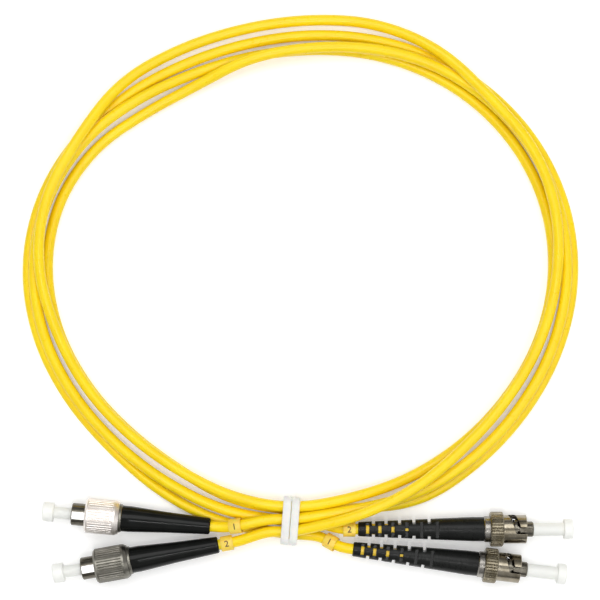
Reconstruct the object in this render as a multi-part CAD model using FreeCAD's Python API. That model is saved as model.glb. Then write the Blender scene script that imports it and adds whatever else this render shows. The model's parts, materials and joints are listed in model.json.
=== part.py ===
import FreeCAD, Part
import math
import os

# Duplex fiber optic patch cord: two jacketed cords wound twice into one ring and tied, with a screw plug
# at the left end of each cord and a bayonet plug at the right end. +Z points up from the table, the plugs
# lie along X, and the origin is on the table under the middle of the row of plugs. Sizes are in mm.

V = FreeCAD.Vector

# Cord
JACKET = 3.0
BUFFER = 0.9
STRAND_GAP = 0.45
FLOOR_ROOM = 0.03

# Fits and clearances, all radial
RUNNING = 0.05
SEAT = 0.02
FACE_GAP = 0.05
CAP_GRIP = 0.03
MARKER_PLAY = 0.3
TIE_PLAY = 0.3
CUT_OVER = 1.0

# Ferrule, the same in both plugs: its rounded tip as length behind the tip and depth under the side
FERRULE = 2.5
FERRULE_TIP = ((0.0, 0.35), (0.2, 0.1), (0.6, 0.0))

# Plug poses: where the cord leaves the boot, and the heading of the plug from there to its nose
PLUG_HEIGHT = 4.8
SCREW_PLUGS = {"1": (-27.2, 4.2, 174.9), "2": (-24.9, -0.9, 190.0)}
BAYONET_PLUGS = {"1": (13.6, 3.4, 0.0), "2": (12.2, -2.1, -6.8)}

# Jacket end and crimp, the same in both plugs
CRIMP_SLEEVE = 4.1
CRIMP_OVERLAP = 4.0
CRIMP_RIM = 0.25
BODY_REAR = 4.8
BUFFER_BORE = 1.2
FIBRE_ROOM = 0.4

# Screw plug, lengths measured from the tail of the boot
SCREW_BOOT = 24.4
SCREW_BOOT_TAIL = 4.6
SCREW_BOOT_WAIST = 5.77
SCREW_BOOT_FRONT = 7.2
SCREW_BOOT_RIM = 0.3
BOOT_COLLAR = 2.2
SCREW_BODY_DEPTH = 4.8
SCREW_POST = 6.3
SCREW_BODY_START = SCREW_BOOT - SCREW_BODY_DEPTH
SCREW_POST_START = SCREW_BODY_START - SCREW_POST
SHANK = 5.6
SHANK_ROOM = 0.3
FRAME = 6.2
FRAME_LENGTH = 8.4
FRAME_WALL = 0.5
FRAME_RIM = 0.2
FRAME_SEAT = 1.0
FRAME_MOUTH = 3.8
FRAME_MOUTH_BORE = 5.2
KEY_WIDTH = 2.0
KEY_RISE = 0.3
KEY_LENGTH = 4.2
KEY_ROOT = 1.0
KEY_SETBACK = 0.3
STOP_BODY_NOSE = 4.6
HOLDER_TUBE = 2.7
HOLDER_TUBE_LENGTH = 4.8
HOLDER_COLLAR = 1.1
HOLDER_NECK = 3.2
HOLDER_NECK_LENGTH = 2.0
HOLDER_ROOM = 1.15
HOLDER_SIDE_ROOM = 0.1
SCREW_FERRULE = 10.0
SCREW_FERRULE_SUNK = 0.6
FERRULE_PUSH = 1.0
NUT = 9.6
NUT_LENGTH = 9.3
NUT_THREAD_BORE = 7.19
NUT_LIP = 0.85
NUT_TRAVEL = 3.0
NUT_CHAMFER = 0.5
NUT_LEAD_IN = 0.4
NUT_LEAD_IN_DEPTH = 0.3
NUT_REAR_BAND = 1.6
NUT_FRONT_BAND = 0.9
BUSH_FLANGE = 7.8
BUSH_FLANGE_LENGTH = 0.75
BUSH_NECK = 6.2
BUSH_BEAD = 6.8
BUSH_BEAD_LENGTH = 0.5
BUSH_RIM = 0.15
NUT_GROOVE_COUNT = 40
NUT_GROOVE_DEPTH = 0.16
BUSH_LENGTH = BUSH_FLANGE_LENGTH + NUT_LIP + 2 * FACE_GAP + BUSH_BEAD_LENGTH
SHANK_LENGTH = BUSH_LENGTH + NUT_TRAVEL + SHANK_ROOM

# Bayonet plug, lengths measured from the tail of the boot
BAYONET_BOOT = 34.6
BAYONET_BOOT_TAIL = 4.0
BAYONET_BOOT_WAIST = 6.0
BAYONET_BOOT_FRONT = 6.7
BAYONET_BOOT_RIM = 0.2
BAYONET_BOOT_BAND = 3.0
BAYONET_BODY_DEPTH = 4.2
BAYONET_POST = 3.0
BAYONET_BODY_START = BAYONET_BOOT - BAYONET_BODY_DEPTH
BAYONET_POST_START = BAYONET_BODY_START - BAYONET_POST
BAYONET_SHANK = 4.4
REAR_RING = 7.2
REAR_RING_LENGTH = 1.7
REAR_RING_RIM = 0.3
BAYONET_LIP = 1.2
KNURL = 9.6
KNURL_LENGTH = 3.6
KNURL_RIM = 0.3
SLEEVE = 7.9
SLEEVE_WALL = 0.4
SLEEVE_LENGTH = 6.4
SLEEVE_RIM = 0.15
WASHER_LENGTH = 0.3
COLLAR = 6.5
COLLAR_LENGTH = 0.7
BARREL = 4.25
BARREL_LENGTH = 4.6
BARREL_RIM = 0.25
BARREL_KEY_WIDTH = 1.2
BARREL_KEY_RISE = 0.75
BARREL_KEY_LENGTH = 3.4
BARREL_KEY_ROOT = 0.6
BARREL_KEY_SETBACK = 0.5
BAYONET_FERRULE = 15.8
BAYONET_FERRULE_OUT = 8.0
BAYONET_PUSH = 2.5
KNURL_GROOVE_COUNT = 36
KNURL_DEPTH = 0.25
KNURL_OVERRUN = 0.1
SLOT_WIDTH = 1.9
SLOT_ENTRY = 2.4
SLOT_RAMP = 1.7
SLOT_TURN = 80.0
SLOT_OVER = 0.3

# Share of each knurl's pitch that a groove takes
GROOVE_SHARE = 0.8

# Springs, with the room inside the turns and what is left between the turns when pushed home
WIRE = 0.45
SCREW_SPRING_ROOM = 0.15
BAYONET_SPRING_ROOM = 0.25
SCREW_SPRING_TURNS = 3
BAYONET_SPRING_TURNS = 4
SPRING_SPARE = 0.25
BAYONET_SPRING = BAYONET_PUSH + (BAYONET_SPRING_TURNS + 1) * WIRE + SPRING_SPARE

# Dust caps: body, grip head and length of the head
SCREW_CAP = (3.3, 5.3, 3.1)
BAYONET_CAP = (3.6, 5.6, 2.5)
CAP_ROOM = 0.4
CAP_OVERLAP = 0.4
CAP_RIM = 0.3
CAP_NECK_RIM = 0.2

# Boot slots of the bayonet plug, short of its crimp sleeve: each step to the next is a little longer
BOOT_SLOTS = 11
BOOT_SLOT_START = 2.15
BOOT_SLOT_PITCH = 1.65
BOOT_SLOT_GROWTH = 0.06
BOOT_SLOT = 0.9
BOOT_SLOT_DEPTH = 1.05

# Marker rings
MARKER = 4.3
MARKER_LENGTH = 3.4
MARKER_SLIT = 1.0
MARKER_FLAT = 0.2

# Tie
TIE_X = -5.1
TIE_BAND = 2.1
TIE_BAND_GAP = 0.25
TIE_THICKNESS = 0.9
TIE_CORNER = 1.6
TIE_LEAN = -4.5

# Ring of strands
RING_X = -2.4
RING_Y = 73.6
TIE_RADIUS = 68.4
HIGH_SHIFT = 1.0
MEAN_RADIUS = 71.57
WAVES = ((0.79, -1.09), (3.64, 0.61), (-0.70, 0.98), (0.49, -0.14))
SPREAD = 5.5
SPREAD_SWING = 1.5
VALLEY = 2.0
OUTSIDE = 4.2
STEPS = 48
START_ANGLE = 268.5
END_ANGLE = 987.3

PITCH = JACKET + STRAND_GAP
FLOOR = JACKET / 2 + FLOOR_ROOM
LOW = FLOOR + TIE_PLAY + TIE_THICKNESS
HIGH = LOW + math.sqrt(PITCH ** 2 - HIGH_SHIFT ** 2)
MIDDLE = FLOOR + math.sqrt(PITCH ** 2 - VALLEY ** 2)

# Journeys of the two cords round the ring: angle, place and how far the way there is lifted
JOURNEYS = {
    "1": ((262, "column 2 high", 0), (269, "column 2 high", 0), (281, (4.4, 5.85), 0), (293, (2.7, 5.3), 0),
          (312, "middle", 0),
          (412, "middle", 0), (456, (4.2, 5.45), 0.1), (484, (7.1, FLOOR), 0.9), (490, (7.1, FLOOR), 0),
          (520, "inner", 0), (590, "inner", 0), (620, "column 1 low", 0), (634, "column 1 low", 0),
          (662, "outer", 0), (935, "outer", 0), (972, "column 3 floor", 0), (986, "column 3 low", 0),
          (998, "column 3 low", 0)),
    "2": ((262, "column 3 high", 0), (269, "column 3 high", 0), (284, (2.8, 8.95), 0.5),
          (298, (4.4, 8.5), 0), (322, "top", 0.5), (348, "top", 0), (401, (1.8, 8.0), 1.2),
          (430, "far", 1.3), (486, "far", 0),
          (517, (1.9, 8.2), 1.3), (556, "top", 1.4), (590, "top", 0), (624, "column 1 high", 0),
          (629, "column 1 high", 0), (642, (7.6, 5.0), 0), (668, "inner", 0), (808, "inner", 0),
          (834, (3.47, FLOOR), 0), (840, (3.47, FLOOR), 0), (868, "middle", 0.8), (950, "middle", 0),
          (984, "column 2 low", 0), (998, "column 2 low", 0)),
}

# Free stretches: the points between the straight ends at the boot and at the tie, and the share of the
# shorter run that an arc takes
LEAD_END = 2.6
ARC_SHARE = 0.45
SCREW_LEADS = {
    "1": ((-22.4, 4.05, 5.25), (-18.3, 4.65, 6.05), (-14.2, 5.7, 6.15)),
    "2": ((-19.0, 0.2, 5.1), (-15.6, 1.45, 5.6), (-12.4, 2.5, 5.95)),
}
BAYONET_LEADS = {
    "1": ((3.0, 4.8, 3.05), (5.8, 4.2, 3.8), (8.4, 3.58, 4.53)),
    "2": ((2.6, 1.25, 2.9), (4.9, 0.35, 3.5), (7.2, -0.85, 4.3)),
}
MARKER_SPOTS = {"screw_1": -20.15, "screw_2": -22.6, "bayonet_1": 11.2, "bayonet_2": 6.1}


def write(name, shape):
    """One solid to one file."""
    if not shape.isValid() or len(shape.Solids) != 1:
        raise ValueError(name + " is not one sound solid: " + str(len(shape.Solids)))
    shape.Solids[0].exportStep("parts/" + name + ".step")


def turned(outline):
    """A solid of revolution about X from corners of length and radius."""
    corners = [V(x, 0, r) for x, r in outline]
    face = Part.Face(Part.makePolygon(corners + corners[:1]))
    return face.revolve(V(0, 0, 0), V(1, 0, 0), 360)


def tube(start, end, outside, bore):
    return turned([(start, bore), (end, bore), (end, outside), (start, outside)])


def laid(shape, pose):
    """A piece of a plug, from the plug's own axis to its place on the table."""
    x, y, heading = pose
    shape = shape.copy()
    shape.rotate(V(0, 0, 0), V(0, 0, 1), heading)
    shape.translate(V(x, y, PLUG_HEIGHT))
    return shape


def grooved(body, radius, depth, start, end, count):
    """Straight V grooves round a knurled face."""
    half = math.pi * radius / count * GROOVE_SHARE
    corners = [V(start, -half, radius + depth), V(start, half, radius + depth), V(start, 0, radius - depth)]
    face = Part.Face(Part.makePolygon(corners + corners[:1]))
    groove = face.extrude(V(end - start, 0, 0))
    cuts = []
    for i in range(count):
        cut = groove.copy()
        cut.rotate(V(0, 0, 0), V(1, 0, 0), 360 * i / count)
        cuts.append(cut)
    return body.cut(cuts)


def arc_edge(start, along, end):
    """The arc from one point to another that leaves along a given direction."""
    chord = end - start
    unit = V(chord).normalize()
    side = along - unit * along.dot(unit)
    if side.Length < 1e-6:
        return Part.LineSegment(start, end).toShape()
    lean = along.getAngle(chord)
    middle = start + chord * 0.5 + side.normalize() * (chord.Length / 2 * math.tan(lean / 2))
    return Part.Arc(start, middle, end).toShape()


def biarc(start, leave, end, arrive):
    """Two arcs that join two points smoothly with the given directions."""
    reach = end - start
    both = reach.dot(leave + arrive)
    bend = 2 * (1 - leave.dot(arrive))
    if bend < 1e-9:
        arm = reach.dot(reach) / (2 * both)
    else:
        arm = (math.sqrt(both ** 2 + bend * reach.dot(reach)) - both) / bend
    joint = (start + leave * arm + end - arrive * arm) * 0.5
    last = arc_edge(end, arrive * -1, joint)
    return [arc_edge(start, leave, joint), last]


def swept(edges, profile):
    """A solid with one section all along a smooth path."""
    path = Part.Wire(Part.__sortEdges__(edges))
    shell = path.makePipeShell([profile], True, False)
    return Part.Solid(Part.Shell(shell.Faces)), path.Length


def cord_solid(edges, start, along):
    circle = Part.Wire(Part.makeCircle(JACKET / 2, start, along))
    solid, length = swept(edges, circle)
    share = solid.Volume / (math.pi * JACKET ** 2 / 4 * length)
    return solid, length, share


def spring(start, end, radius, turns):
    """A square wire wound about X, in quarter turns."""
    rise = (end - start - WIRE) / turns / 4
    points = []
    ways = []
    for i in range(turns * 4 + 1):
        angle = math.pi / 2 * i
        points.append(V(start + WIRE / 2 + rise * i, radius * math.cos(angle), radius * math.sin(angle)))
        turn = V(0, -math.sin(angle), math.cos(angle)) * (radius * math.pi / 2)
        ways.append((turn + V(rise, 0, 0)).normalize())
    edges = []
    for i in range(turns * 4):
        edges += biarc(points[i], ways[i], points[i + 1], ways[i + 1])
    across = V(0, 1, 0) * (WIRE / 2)
    along = ways[0].cross(V(0, 1, 0)).normalize() * (WIRE / 2)
    corners = [points[0] + across + along, points[0] - across + along]
    corners += [points[0] - across - along, points[0] + across - along]
    return swept(edges, Part.makePolygon(corners + corners[:1]))[0]


def dust_cap(mouth, tip, sizes):
    """A soft cap with a grip head, pushed over a ferrule."""
    body, head, head_length = sizes
    bore = FERRULE / 2 + CAP_GRIP
    end = tip + CAP_ROOM + head_length
    neck = end - head_length
    return turned([(mouth, bore), (tip + CAP_ROOM, bore), (tip + CAP_ROOM, 0), (end, 0),
                   (end, head / 2 - CAP_RIM), (end - CAP_RIM, head / 2), (neck + CAP_NECK_RIM, head / 2),
                   (neck, head / 2 - CAP_NECK_RIM), (neck, body / 2), (mouth, body / 2)])


def ferrule(start, tip):
    radius = FERRULE / 2
    nose = [(tip - back, radius - depth) for back, depth in FERRULE_TIP]
    return turned([(start, 0), (tip, 0)] + nose + [(start, radius)])


def stripped_end(post_start, tip):
    """The cord's end inside a plug: the jacket, then the buffered fibre."""
    return turned([(0, 0), (tip, 0), (tip, BUFFER / 2), (post_start - FACE_GAP, BUFFER / 2),
                   (post_start - FACE_GAP, JACKET / 2), (0, JACKET / 2)])


def crimp_sleeve(post_start, body_start):
    start = post_start - CRIMP_OVERLAP
    end = body_start - FACE_GAP
    bore = JACKET / 2 + SEAT
    outside = CRIMP_SLEEVE / 2
    return turned([(start, bore), (end, bore), (end, outside), (start + CRIMP_RIM, outside),
                   (start, outside - CRIMP_RIM)])


def boot_bore(post_start, body_start, front):
    """The stepped inside of a boot: jacket, crimp sleeve, then the rear of the body."""
    sleeve_start = post_start - CRIMP_OVERLAP - SEAT
    jacket = JACKET / 2 + RUNNING
    sleeve = CRIMP_SLEEVE / 2 + SEAT
    body = BODY_REAR / 2 + SEAT
    return [(front, body), (body_start - SEAT, body), (body_start - SEAT, sleeve), (sleeve_start, sleeve),
            (sleeve_start, jacket), (0, jacket)]


def screw_boot():
    """A smooth boot that tapers in two slight steps of slope to a rounded tail."""
    tail = SCREW_BOOT_TAIL / 2
    front = SCREW_BOOT_FRONT / 2
    outline = boot_bore(SCREW_POST_START, SCREW_BODY_START, SCREW_BOOT)
    outline += [(0, tail - SCREW_BOOT_RIM), (SCREW_BOOT_RIM, tail), (SCREW_BOOT / 2, SCREW_BOOT_WAIST / 2),
                (SCREW_BOOT - BOOT_COLLAR, front), (SCREW_BOOT, front)]
    return turned(outline)


def stop_body():
    """Closes the frame from behind, seats the spring and carries the crimp."""
    nose_end = SCREW_BOOT + FACE_GAP + STOP_BODY_NOSE
    nose = SHANK / 2 - FRAME_WALL - SEAT
    post = JACKET / 2
    hollow = HOLDER_TUBE / 2 + HOLDER_SIDE_ROOM
    bore = BUFFER_BORE / 2
    tube_end = holder_collar_face() - HOLDER_COLLAR - HOLDER_TUBE_LENGTH
    hollow_start = tube_end - FERRULE_PUSH - HOLDER_ROOM
    return turned([(SCREW_POST_START, bore), (hollow_start, bore), (hollow_start, hollow),
                   (nose_end, hollow), (nose_end, nose), (SCREW_BOOT, nose), (SCREW_BOOT, BODY_REAR / 2),
                   (SCREW_BODY_START, BODY_REAR / 2), (SCREW_BODY_START, post), (SCREW_POST_START, post)])


def plug_frame():
    """The barrel that enters the socket, with its key and the shank that the nut rides on."""
    start = SCREW_BOOT + FACE_GAP
    step = start + SHANK_LENGTH
    front = step + FRAME_LENGTH
    shank = SHANK / 2
    outside = FRAME / 2
    bore = shank - FRAME_WALL
    waist = front - FRAME_MOUTH
    stop = HOLDER_NECK / 2 + RUNNING
    mouth = FRAME_MOUTH_BORE / 2
    body = turned([(start, bore), (waist - FRAME_SEAT, bore), (waist - FRAME_SEAT, stop), (waist, stop),
                   (waist, mouth), (front, mouth), (front, outside - FRAME_RIM),
                   (front - FRAME_RIM, outside), (step, outside), (step, shank), (start, shank)])
    key = Part.makeBox(KEY_LENGTH, KEY_WIDTH, KEY_ROOT + KEY_RISE)
    key.translate(V(front - KEY_LENGTH - KEY_SETBACK, -KEY_WIDTH / 2, outside - KEY_ROOT))
    hollow = Part.makeCylinder(mouth, front, V(0, 0, 0), V(1, 0, 0))
    return body.fuse(key.cut(hollow)).removeSplitter()


def holder_collar_face():
    front = SCREW_BOOT + FACE_GAP + SHANK_LENGTH + FRAME_LENGTH - FRAME_MOUTH - FRAME_SEAT
    return front - FACE_GAP


def ferrule_holder():
    """The metal holder that slides in the frame with the ferrule pressed into it."""
    face = holder_collar_face()
    rear = face - HOLDER_COLLAR
    nose = face + HOLDER_NECK_LENGTH
    seat = FERRULE / 2 + SEAT
    depth = face - SCREW_FERRULE_SUNK
    collar = SHANK / 2 - FRAME_WALL - RUNNING
    return turned([(rear - HOLDER_TUBE_LENGTH, BUFFER_BORE / 2), (depth, BUFFER_BORE / 2), (depth, seat),
                   (nose, seat), (nose, HOLDER_NECK / 2), (face, HOLDER_NECK / 2), (face, collar),
                   (rear, collar), (rear, HOLDER_TUBE / 2), (rear - HOLDER_TUBE_LENGTH, HOLDER_TUBE / 2)])


def nut_bush():
    """The thin ring behind the nut, which snaps into it and slides on the shank."""
    start = SCREW_BOOT + FACE_GAP
    face = start + BUSH_FLANGE_LENGTH
    bead = face + NUT_LIP + 2 * FACE_GAP
    end = bead + BUSH_BEAD_LENGTH
    bore = SHANK / 2 + RUNNING
    snap = BUSH_BEAD / 2
    neck = BUSH_NECK / 2
    flange = BUSH_FLANGE / 2
    return turned([(start, bore), (end, bore), (end, snap - BUSH_RIM), (end - BUSH_RIM, snap), (bead, snap),
                   (bead, neck), (face, neck), (face, flange), (start + BUSH_RIM, flange),
                   (start, flange - BUSH_RIM)])


def coupling_nut():
    """The knurled nut with its threaded bore and the lip that the bush snaps behind."""
    start = SCREW_BOOT + FACE_GAP + BUSH_FLANGE_LENGTH + FACE_GAP
    lip = start + NUT_LIP
    end = start + NUT_LENGTH
    outside = NUT / 2
    bore = NUT_THREAD_BORE / 2
    neck = BUSH_NECK / 2 + RUNNING
    blank = turned([(start, neck), (lip, neck), (lip, bore), (end - NUT_LEAD_IN, bore),
                    (end, bore + NUT_LEAD_IN_DEPTH), (end, outside - NUT_CHAMFER),
                    (end - NUT_CHAMFER, outside), (start + NUT_CHAMFER * 2, outside),
                    (start, outside - NUT_CHAMFER)])
    return grooved(blank, outside, NUT_GROOVE_DEPTH, start + NUT_REAR_BAND, end - NUT_FRONT_BAND,
                   NUT_GROOVE_COUNT)


def bayonet_boot():
    """A tapering boot cut by slots that change sides, so that it bends evenly."""
    tail = BAYONET_BOOT_TAIL / 2
    waist = BAYONET_BOOT_WAIST / 2
    waist_at = BAYONET_BOOT * 2 / 3
    front = BAYONET_BOOT_FRONT / 2
    outline = boot_bore(BAYONET_POST_START, BAYONET_BODY_START, BAYONET_BOOT)
    outline += [(0, tail - BAYONET_BOOT_RIM), (BAYONET_BOOT_RIM, tail), (waist_at, waist),
                (BAYONET_BOOT - BAYONET_BOOT_BAND, front), (BAYONET_BOOT, front)]
    body = turned(outline)
    cuts = []
    x = BOOT_SLOT_START
    for i in range(BOOT_SLOTS):
        floor = tail + (waist - tail) * x / waist_at - BOOT_SLOT_DEPTH
        for side in (0, 180):
            cut = Part.makeBox(BOOT_SLOT, 2 * (front + CUT_OVER), front)
            cut.translate(V(x, -front - CUT_OVER, floor))
            cut.rotate(V(0, 0, 0), V(1, 0, 0), 90 * (i % 2) + side)
            cuts.append(cut)
        x += BOOT_SLOT_PITCH + BOOT_SLOT_GROWTH * i
    return body.cut(cuts)


def rear_ring():
    start = BAYONET_BOOT + FACE_GAP
    end = start + REAR_RING_LENGTH
    outside = REAR_RING / 2
    bore = BODY_REAR / 2 + SEAT
    return turned([(start, bore), (end, bore), (end, outside), (start + REAR_RING_RIM, outside),
                   (start, outside - REAR_RING_RIM)])


def bayonet_barrel():
    """The fixed body: crimp post, shank, spring collar and the keyed barrel round the ferrule."""
    lip_start = BAYONET_BOOT + REAR_RING_LENGTH + 2 * FACE_GAP
    collar_start = lip_start + BAYONET_LIP + WASHER_LENGTH + BAYONET_SPRING + 3 * FACE_GAP
    collar_end = collar_start + COLLAR_LENGTH
    front = collar_end + BARREL_LENGTH
    seat = FERRULE / 2 + SEAT
    depth = front + BAYONET_FERRULE_OUT - BAYONET_FERRULE
    barrel = BARREL / 2
    post = JACKET / 2
    bore = BUFFER_BORE / 2
    body = turned([(BAYONET_POST_START, bore), (depth, bore), (depth, seat), (front, seat),
                   (front, barrel - BARREL_RIM), (front - BARREL_RIM, barrel), (collar_end, barrel),
                   (collar_end, COLLAR / 2), (collar_start, COLLAR / 2), (collar_start, BAYONET_SHANK / 2),
                   (lip_start - FACE_GAP, BAYONET_SHANK / 2), (lip_start - FACE_GAP, BODY_REAR / 2),
                   (BAYONET_BODY_START, BODY_REAR / 2), (BAYONET_BODY_START, post),
                   (BAYONET_POST_START, post)])
    key = Part.makeBox(BARREL_KEY_LENGTH, BARREL_KEY_WIDTH, BARREL_KEY_ROOT + BARREL_KEY_RISE)
    key.translate(V(front - BARREL_KEY_LENGTH - BARREL_KEY_SETBACK, -BARREL_KEY_WIDTH / 2,
                    barrel - BARREL_KEY_ROOT))
    return body.fuse(key).removeSplitter(), lip_start, front


def bayonet_nut(lip_start):
    """The knurled ring and slotted sleeve that hook on the socket's two studs."""
    lip = lip_start + BAYONET_LIP
    knurl_end = lip_start + KNURL_LENGTH
    front = knurl_end + SLEEVE_LENGTH
    sleeve = SLEEVE / 2
    bore = sleeve - SLEEVE_WALL
    shank = BAYONET_SHANK / 2 + RUNNING
    ring = KNURL / 2
    blank = turned([(lip_start, shank), (lip, shank), (lip, bore), (front, bore),
                    (front, sleeve - SLEEVE_RIM), (front - SLEEVE_RIM, sleeve), (knurl_end, sleeve),
                    (knurl_end, ring - KNURL_RIM), (knurl_end - KNURL_RIM, ring),
                    (lip_start + KNURL_RIM, ring), (lip_start, ring - KNURL_RIM)])
    slotted = blank
    for slot in cam_slots(bore, sleeve, front):
        slotted = slotted.cut(slot)
    return grooved(slotted, ring, KNURL_DEPTH, lip_start - KNURL_OVERRUN, knurl_end - SEAT,
                   KNURL_GROOVE_COUNT)


def cam_slots(bore, sleeve, front):
    """Two slots: each runs straight in from the front edge, then turns and climbs back to a round seat."""
    inside = bore - SLOT_OVER
    depth = sleeve - bore + 2 * SLOT_OVER
    half = SLOT_WIDTH / 2
    corner = front - SLOT_ENTRY
    entry = Part.makeBox(SLOT_ENTRY + CUT_OVER, SLOT_WIDTH, depth)
    entry.translate(V(corner, -half, inside))
    pitch = SLOT_RAMP * 360 / SLOT_TURN
    helix = Part.makeHelix(pitch, SLOT_RAMP, bore)
    corners = [V(inside, 0, -half), V(inside + depth, 0, -half), V(inside + depth, 0, half)]
    corners.append(V(inside, 0, half))
    ramp = Part.Wire(helix).makePipeShell([Part.makePolygon(corners + corners[:1])], True, True)
    ramp.rotate(V(0, 0, 0), V(0, 1, 0), -90)
    ramp.translate(V(corner, 0, 0))
    elbow = Part.makeCylinder(half, depth, V(corner, 0, inside), V(0, 0, 1))
    seat = Part.makeCylinder(half, depth, V(corner - SLOT_RAMP, 0, inside), V(0, 0, 1))
    seat.rotate(V(0, 0, 0), V(1, 0, 0), -SLOT_TURN)
    slots = []
    for turn in (0, 180):
        for piece in (entry, ramp, elbow, seat):
            cut = piece.copy()
            cut.rotate(V(0, 0, 0), V(1, 0, 0), turn)
            slots.append(cut)
    return slots


def marker():
    """An open ring with a flat on top for its number, clipped over the cord."""
    bore = JACKET / 2 + MARKER_PLAY
    outside = MARKER / 2
    ring = tube(-MARKER_LENGTH / 2, MARKER_LENGTH / 2, outside, bore)
    length = MARKER_LENGTH + 2 * CUT_OVER
    over = Part.makeBox(length, 2 * outside, outside)
    over.translate(V(-length / 2, -outside, outside - MARKER_FLAT))
    slit = Part.makeBox(length, MARKER_SLIT, outside)
    slit.translate(V(-length / 2, -MARKER_SLIT / 2, -outside - CUT_OVER))
    return ring.cut([over, slit])


def tie():
    """One flat strip wound twice round the strands, slanting across underneath from band to band."""
    inside_y = PITCH + JACKET / 2 + TIE_PLAY + HIGH_SHIFT / 2
    outside_y = inside_y + TIE_THICKNESS
    inside_top = HIGH + JACKET / 2 + TIE_PLAY
    outside_top = inside_top + TIE_THICKNESS
    middle = outside_top / 2
    corner = TIE_CORNER

    def frame_block(half_y, half_z, radius, start):
        block = Part.makeBox(TIE_BAND, 2 * half_y, 2 * half_z, V(start, -half_y, middle - half_z))
        rims = [e for e in block.Edges if abs(e.Vertexes[0].X - e.Vertexes[1].X) > TIE_BAND / 2]
        return block.makeFillet(radius, rims)

    first = TIE_X - TIE_BAND - TIE_BAND_GAP / 2
    second = TIE_X + TIE_BAND_GAP / 2
    bands = []
    foot = TIE_THICKNESS + corner
    for start, side in ((first, -1), (second, 1)):
        band = frame_block(outside_y, middle, corner + TIE_THICKNESS, start)
        band = band.cut(frame_block(inside_y, middle - TIE_THICKNESS, corner, start))
        under = Part.makeBox(TIE_BAND, 2 * inside_y - 2 * corner, foot, V(start, corner - inside_y, 0))
        end = Part.makeBox(TIE_BAND, outside_y, foot, V(start, 0, 0))
        if side < 0:
            end.translate(V(0, -outside_y, 0))
        bands.append(band.cut([under, end]))
    near = inside_y - corner
    section = []
    for start, y in ((first, near), (second, -near)):
        corners = [V(start, y, 0), V(start + TIE_BAND, y, 0), V(start + TIE_BAND, y, TIE_THICKNESS)]
        corners.append(V(start, y, TIE_THICKNESS))
        section.append(Part.makePolygon(corners + corners[:1]))
    bridge = Part.makeLoft(section, True, True)
    strip = bands[0].fuse([bridge, bands[1]]).removeSplitter()
    strip.rotate(V(TIE_X, 0, 0), V(0, 0, 1), TIE_LEAN)
    strip.translate(V(0, RING_Y - TIE_RADIUS + HIGH_SHIFT / 2, 0))
    return strip


def outer_lane(angle):
    """Radius of the outer strand: a circle with four slow waves."""
    turn = math.radians(angle)
    radius = MEAN_RADIUS
    for i, (along, across) in enumerate(WAVES, 1):
        radius += along * math.cos(i * turn) + across * math.sin(i * turn)
    return radius


def lane(place, angle):
    """Radius and height of a named place in the bundle at an angle."""
    outer = outer_lane(angle)
    inner = outer - SPREAD + SPREAD_SWING * math.sin(math.radians(angle))
    if isinstance(place, tuple):
        return outer - place[0], place[1]
    if place.startswith("column"):
        column, level = place.split()[1:]
        heights = {"floor": FLOOR, "low": LOW, "high": HIGH}
        radius = TIE_RADIUS + (int(column) - 2) * PITCH
        return radius - (HIGH_SHIFT if level == "high" else 0), heights[level]
    places = {"outer": (outer, FLOOR), "middle": (outer - VALLEY, MIDDLE), "inner": (inner, FLOOR),
              "top": (inner, FLOOR + PITCH), "far": (outer + OUTSIDE, FLOOR)}
    return places[place]


def strand_point(cord, angle):
    """Where a cord is at an angle, eased from each place of its journey to the next."""
    stops = JOURNEYS[cord]
    for (left, before, _), (reached, after, lift) in zip(stops, stops[1:]):
        if angle <= reached:
            break
    part = (angle - left) / (reached - left)
    ease = part * part * (3 - 2 * part)
    radius, height = lane(before, angle)
    next_radius, next_height = lane(after, angle)
    radius += (next_radius - radius) * ease
    height += (next_height - height) * ease + lift * 16 * part ** 2 * (1 - part) ** 2
    turn = math.radians(angle)
    return V(RING_X + radius * math.cos(turn), RING_Y + radius * math.sin(turn), height)


def strand_way(cord, angle):
    return (strand_point(cord, angle + 0.1) - strand_point(cord, angle - 0.1)).normalize()


def coil(cord):
    """Both turns of one cord as smooth arcs, with a straight end of one diameter at the tie."""
    step = (END_ANGLE - START_ANGLE) / STEPS
    angles = [START_ANGLE + step * i for i in range(STEPS + 1)]
    points = [strand_point(cord, a) for a in angles]
    ways = [strand_way(cord, a) for a in angles]
    start = points[0] - ways[0] * JACKET
    end = points[-1] + ways[-1] * JACKET
    edges = [Part.LineSegment(start, points[0]).toShape()]
    for i in range(STEPS):
        edges += biarc(points[i], ways[i], points[i + 1], ways[i + 1])
    edges.append(Part.LineSegment(points[-1], end).toShape())
    return edges, (start, ways[0]), (end, ways[-1])


def least_gap(edges, others, same):
    """Least gap between the surfaces of two tubes, or of one tube and its own other turn."""
    def marks(path):
        found = []
        for edge in path:
            found += edge.discretize(Distance=2.0)[:-1]
        return found
    first = marks(edges)
    second = marks(others)
    skip = 20
    nearest = 1e9
    for i, a in enumerate(first):
        for b in (second[i + skip:] if same else second):
            nearest = min(nearest, (a.x - b.x) ** 2 + (a.y - b.y) ** 2 + (a.z - b.z) ** 2)
    return math.sqrt(nearest) - JACKET


def lead(points):
    """Straight runs joined by arcs as large as the runs allow."""
    edges = []
    radii = []
    before = points[0]
    for i in range(1, len(points) - 1):
        back = points[i - 1] - points[i]
        ahead = points[i + 1] - points[i]
        arm = ARC_SHARE * min(back.Length, ahead.Length)
        turn = math.pi - back.getAngle(ahead)
        radii.append(arm / math.tan(turn / 2))
        enter = points[i] + V(back).normalize() * arm
        leave = points[i] + V(ahead).normalize() * arm
        edges.append(Part.LineSegment(before, enter).toShape())
        edges.append(arc_edge(enter, V(back).normalize() * -1, leave))
        before = leave
    edges.append(Part.LineSegment(before, points[-1]).toShape())
    return edges, radii


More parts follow.
